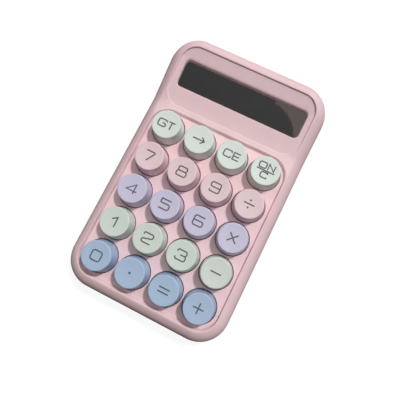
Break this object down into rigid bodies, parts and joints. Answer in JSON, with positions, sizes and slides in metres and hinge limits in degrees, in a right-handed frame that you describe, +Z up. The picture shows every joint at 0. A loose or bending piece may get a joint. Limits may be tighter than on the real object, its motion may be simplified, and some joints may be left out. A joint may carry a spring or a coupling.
{
  "type": "desk calculator",
  "caption": "Pastel desk calculator with round sprung typewriter-style keys, a raised sloping display end, dark window and a sliding battery door.",
  "frame": {"origin": "centre of the footprint at table level, under the rubber feet", "axes": "+Z up from the table; +Y from the front edge towards the display end; +X to the right when facing the display with the keys in front"},
  "size_m": [0.096, 0.154, 0.0254],
  "materials": {
    "case_pink": "fine matte, smooth moulded",
    "case_pink_lower": "fine matte, smooth moulded",
    "window_tint": "dark tinted, polished",
    "lcd": "unlit liquid crystal glass",
    "frame_black": "matte black",
    "flex_amber": "polyimide film",
    "board_green": "solder mask",
    "chip_black": "moulded epoxy",
    "component_ivory": "satin",
    "switch_grey": "satin nylon",
    "screw_steel": "zinc plated",
    "foot_rubber": "matte",
    "battery_jacket": "printed film over steel",
    "contact_plate": "nickel plated",
    "lead_red": "insulated wire",
    "cap_mint": "satin",
    "cap_rose": "satin",
    "cap_lilac": "satin",
    "cap_sage": "satin",
    "cap_blue": "satin",
    "stem_blue": "moulded acetal"
  },
  "bodies": {
    "case": {"top_case": "case_pink", "bottom_case": "case_pink_lower", "display_window": "window_tint", "lcd_glass": "lcd", "lcd_frame": "frame_black", "ribbon_cable": "flex_amber", "main_board": "board_green", "controller_chip": "chip_black", "board_components": "component_ivory", "switch_housings": "switch_grey", "board_screws": "screw_steel", "case_screws": "screw_steel", "rubber_feet": "foot_rubber", "battery": "battery_jacket", "positive_contact": "contact_plate", "negative_contact": "contact_plate", "battery_leads": "lead_red"},
    "door": {"battery_door": "case_pink_lower"},
    "key_gt": {"keycap_gt": "cap_mint", "stem_gt": "stem_blue"},
    "key_arrow": {"keycap_arrow": "cap_mint", "stem_arrow": "stem_blue"},
    "key_ce": {"keycap_ce": "cap_mint", "stem_ce": "stem_blue"},
    "key_on_c": {"keycap_on_c": "cap_mint", "stem_on_c": "stem_blue"},
    "key_7": {"keycap_7": "cap_rose", "stem_7": "stem_blue"},
    "key_8": {"keycap_8": "cap_rose", "stem_8": "stem_blue"},
    "key_9": {"keycap_9": "cap_rose", "stem_9": "stem_blue"},
    "key_divide": {"keycap_divide": "cap_rose", "stem_divide": "stem_blue"},
    "key_4": {"keycap_4": "cap_lilac", "stem_4": "stem_blue"},
    "key_5": {"keycap_5": "cap_lilac", "stem_5": "stem_blue"},
    "key_6": {"keycap_6": "cap_lilac", "stem_6": "stem_blue"},
    "key_multiply": {"keycap_multiply": "cap_lilac", "stem_multiply": "stem_blue"},
    "key_1": {"keycap_1": "cap_sage", "stem_1": "stem_blue"},
    "key_2": {"keycap_2": "cap_sage", "stem_2": "stem_blue"},
    "key_3": {"keycap_3": "cap_sage", "stem_3": "stem_blue"},
    "key_minus": {"keycap_minus": "cap_sage", "stem_minus": "stem_blue"},
    "key_0": {"keycap_0": "cap_blue", "stem_0": "stem_blue"},
    "key_point": {"keycap_point": "cap_blue", "stem_point": "stem_blue"},
    "key_equals": {"keycap_equals": "cap_blue", "stem_equals": "stem_blue"},
    "key_plus": {"keycap_plus": "cap_blue", "stem_plus": "stem_blue"}
  },
  "joints": [
    {"name": "press_gt", "type": "slide", "parent": "case", "child": "key_gt", "axis": [0, 0, -1], "range_m": [0, 0.0032], "stiffness_N_per_m": 150, "springref_m": -0.003},
    {"name": "press_arrow", "type": "slide", "parent": "case", "child": "key_arrow", "axis": [0, 0, -1], "range_m": [0, 0.0032], "stiffness_N_per_m": 150, "springref_m": -0.003},
    {"name": "press_ce", "type": "slide", "parent": "case", "child": "key_ce", "axis": [0, 0, -1], "range_m": [0, 0.0032], "stiffness_N_per_m": 150, "springref_m": -0.003},
    {"name": "press_on_c", "type": "slide", "parent": "case", "child": "key_on_c", "axis": [0, 0, -1], "range_m": [0, 0.0032], "stiffness_N_per_m": 150, "springref_m": -0.003},
    {"name": "press_7", "type": "slide", "parent": "case", "child": "key_7", "axis": [0, 0, -1], "range_m": [0, 0.0032], "stiffness_N_per_m": 150, "springref_m": -0.003},
    {"name": "press_8", "type": "slide", "parent": "case", "child": "key_8", "axis": [0, 0, -1], "range_m": [0, 0.0032], "stiffness_N_per_m": 150, "springref_m": -0.003},
    {"name": "press_9", "type": "slide", "parent": "case", "child": "key_9", "axis": [0, 0, -1], "range_m": [0, 0.0032], "stiffness_N_per_m": 150, "springref_m": -0.003},
    {"name": "press_divide", "type": "slide", "parent": "case", "child": "key_divide", "axis": [0, 0, -1], "range_m": [0, 0.0032], "stiffness_N_per_m": 150, "springref_m": -0.003},
    {"name": "press_4", "type": "slide", "parent": "case", "child": "key_4", "axis": [0, 0, -1], "range_m": [0, 0.0032], "stiffness_N_per_m": 150, "springref_m": -0.003},
    {"name": "press_5", "type": "slide", "parent": "case", "child": "key_5", "axis": [0, 0, -1], "range_m": [0, 0.0032], "stiffness_N_per_m": 150, "springref_m": -0.003},
    {"name": "press_6", "type": "slide", "parent": "case", "child": "key_6", "axis": [0, 0, -1], "range_m": [0, 0.0032], "stiffness_N_per_m": 150, "springref_m": -0.003},
    {"name": "press_multiply", "type": "slide", "parent": "case", "child": "key_multiply", "axis": [0, 0, -1], "range_m": [0, 0.0032], "stiffness_N_per_m": 150, "springref_m": -0.003},
    {"name": "press_1", "type": "slide", "parent": "case", "child": "key_1", "axis": [0, 0, -1], "range_m": [0, 0.0032], "stiffness_N_per_m": 150, "springref_m": -0.003},
    {"name": "press_2", "type": "slide", "parent": "case", "child": "key_2", "axis": [0, 0, -1], "range_m": [0, 0.0032], "stiffness_N_per_m": 150, "springref_m": -0.003},
    {"name": "press_3", "type": "slide", "parent": "case", "child": "key_3", "axis": [0, 0, -1], "range_m": [0, 0.0032], "stiffness_N_per_m": 150, "springref_m": -0.003},
    {"name": "press_minus", "type": "slide", "parent": "case", "child": "key_minus", "axis": [0, 0, -1], "range_m": [0, 0.0032], "stiffness_N_per_m": 150, "springref_m": -0.003},
    {"name": "press_0", "type": "slide", "parent": "case", "child": "key_0", "axis": [0, 0, -1], "range_m": [0, 0.0032], "stiffness_N_per_m": 150, "springref_m": -0.003},
    {"name": "press_point", "type": "slide", "parent": "case", "child": "key_point", "axis": [0, 0, -1], "range_m": [0, 0.0032], "stiffness_N_per_m": 150, "springref_m": -0.003},
    {"name": "press_equals", "type": "slide", "parent": "case", "child": "key_equals", "axis": [0, 0, -1], "range_m": [0, 0.0032], "stiffness_N_per_m": 150, "springref_m": -0.003},
    {"name": "press_plus", "type": "slide", "parent": "case", "child": "key_plus", "axis": [0, 0, -1], "range_m": [0, 0.0032], "stiffness_N_per_m": 150, "springref_m": -0.003},
    {"name": "door_slide", "type": "slide", "parent": "case", "child": "door", "axis": [0, 1, 0], "range_m": [0, 0.01]}
  ]
}
